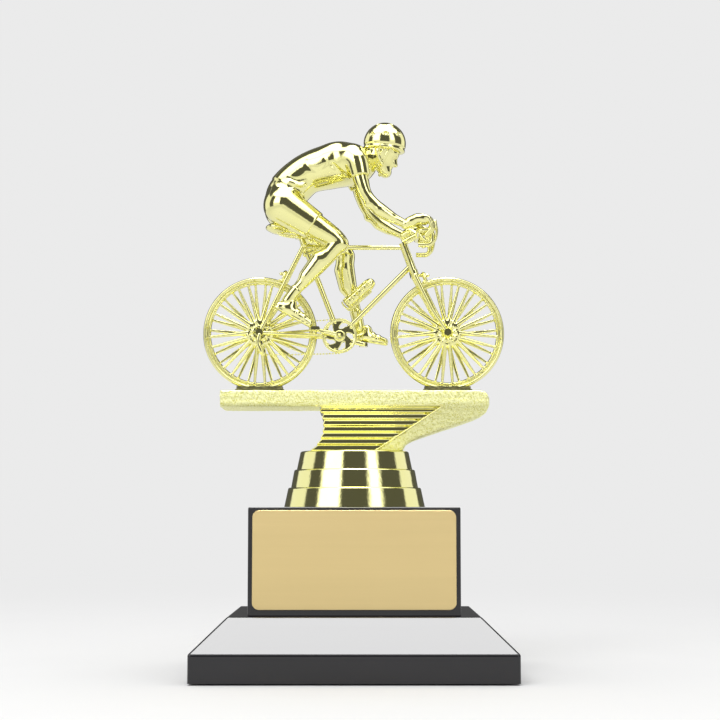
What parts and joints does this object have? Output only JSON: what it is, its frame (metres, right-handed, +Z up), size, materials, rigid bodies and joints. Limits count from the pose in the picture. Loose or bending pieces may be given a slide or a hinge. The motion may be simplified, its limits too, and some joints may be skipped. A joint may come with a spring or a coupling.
{
  "type": "figure trophy",
  "caption": "Award with a gold cyclist figure on a swept platform and three-tier riser, over a black block with a blank plate and a bevelled slab.",
  "frame": {"origin": "centre of the trophy's underside, on the axis of the threaded rod that holds it together", "axes": "+Z up along the rod, +X the way the cyclist rides, name plate faces -Y"},
  "size_m": [0.113, 0.09, 0.2044],
  "materials": {
    "gold_plating": "vacuum metallised pale gold, mirror bright",
    "gold_textured": "vacuum metallised pale gold over a fine sand texture",
    "black_gloss": "black lacquer, high gloss",
    "satin_gold_plate": "anodised satin gold, fine straight grain",
    "adhesive_film": "translucent white film",
    "zinc_steel": "bright zinc plated",
    "felt": "black needle felt"
  },
  "bodies": {
    "base": {"felt_pad": "felt", "base_slab": "black_gloss", "upper_block": "black_gloss", "plate_tape": "adhesive_film", "name_plate": "satin_gold_plate", "tie_rod": "zinc_steel", "rod_washer": "zinc_steel", "rod_nut": "zinc_steel"},
    "figure": {"bottle": "gold_plating", "bottle_cage": "gold_plating", "bottom_bracket": "gold_plating", "captive_nut": "zinc_steel", "chain": "gold_plating", "chainring": "gold_plating", "crank_spindle": "gold_plating", "derailleur": "gold_plating", "down_tube": "gold_plating", "far_arm": "gold_plating", "far_brake_hood": "gold_plating", "far_chain_stay": "gold_plating", "far_crank": "gold_plating", "far_fork_blade": "gold_plating", "far_hand": "gold_plating", "far_leg": "gold_plating", "far_pedal": "gold_plating", "far_seat_stay": "gold_plating", "far_shoe": "gold_plating", "figure_platform": "gold_textured", "fork_crown": "gold_plating", "front_axle": "gold_plating", "front_brake": "gold_plating", "front_wheel": "gold_plating", "front_wheel_shoe": "gold_plating", "handlebar": "gold_plating", "head_tube": "gold_plating", "helmet": "gold_plating", "near_arm": "gold_plating", "near_brake_hood": "gold_plating", "near_chain_stay": "gold_plating", "near_crank": "gold_plating", "near_fork_blade": "gold_plating", "near_hand": "gold_plating", "near_leg": "gold_plating", "near_pedal": "gold_plating", "near_seat_stay": "gold_plating", "near_shoe": "gold_plating", "rear_axle": "gold_plating", "rear_brake": "gold_plating", "rear_sprocket": "gold_plating", "rear_wheel": "gold_plating", "rear_wheel_shoe": "gold_plating", "ribbed_wedge": "gold_plating", "rider_head": "gold_plating", "rider_torso": "gold_plating", "riser_cup": "gold_plating", "saddle": "gold_plating", "seat_post": "gold_plating", "seat_tube": "gold_plating", "stem": "gold_plating", "top_tube": "gold_plating"}
  },
  "joints": [
    {"name": "figure_swivel", "type": "hinge", "parent": "base", "child": "figure", "pos_m": [0, 0, 0.0602], "axis": [0, 0, 1], "continuous": true}
  ]
}
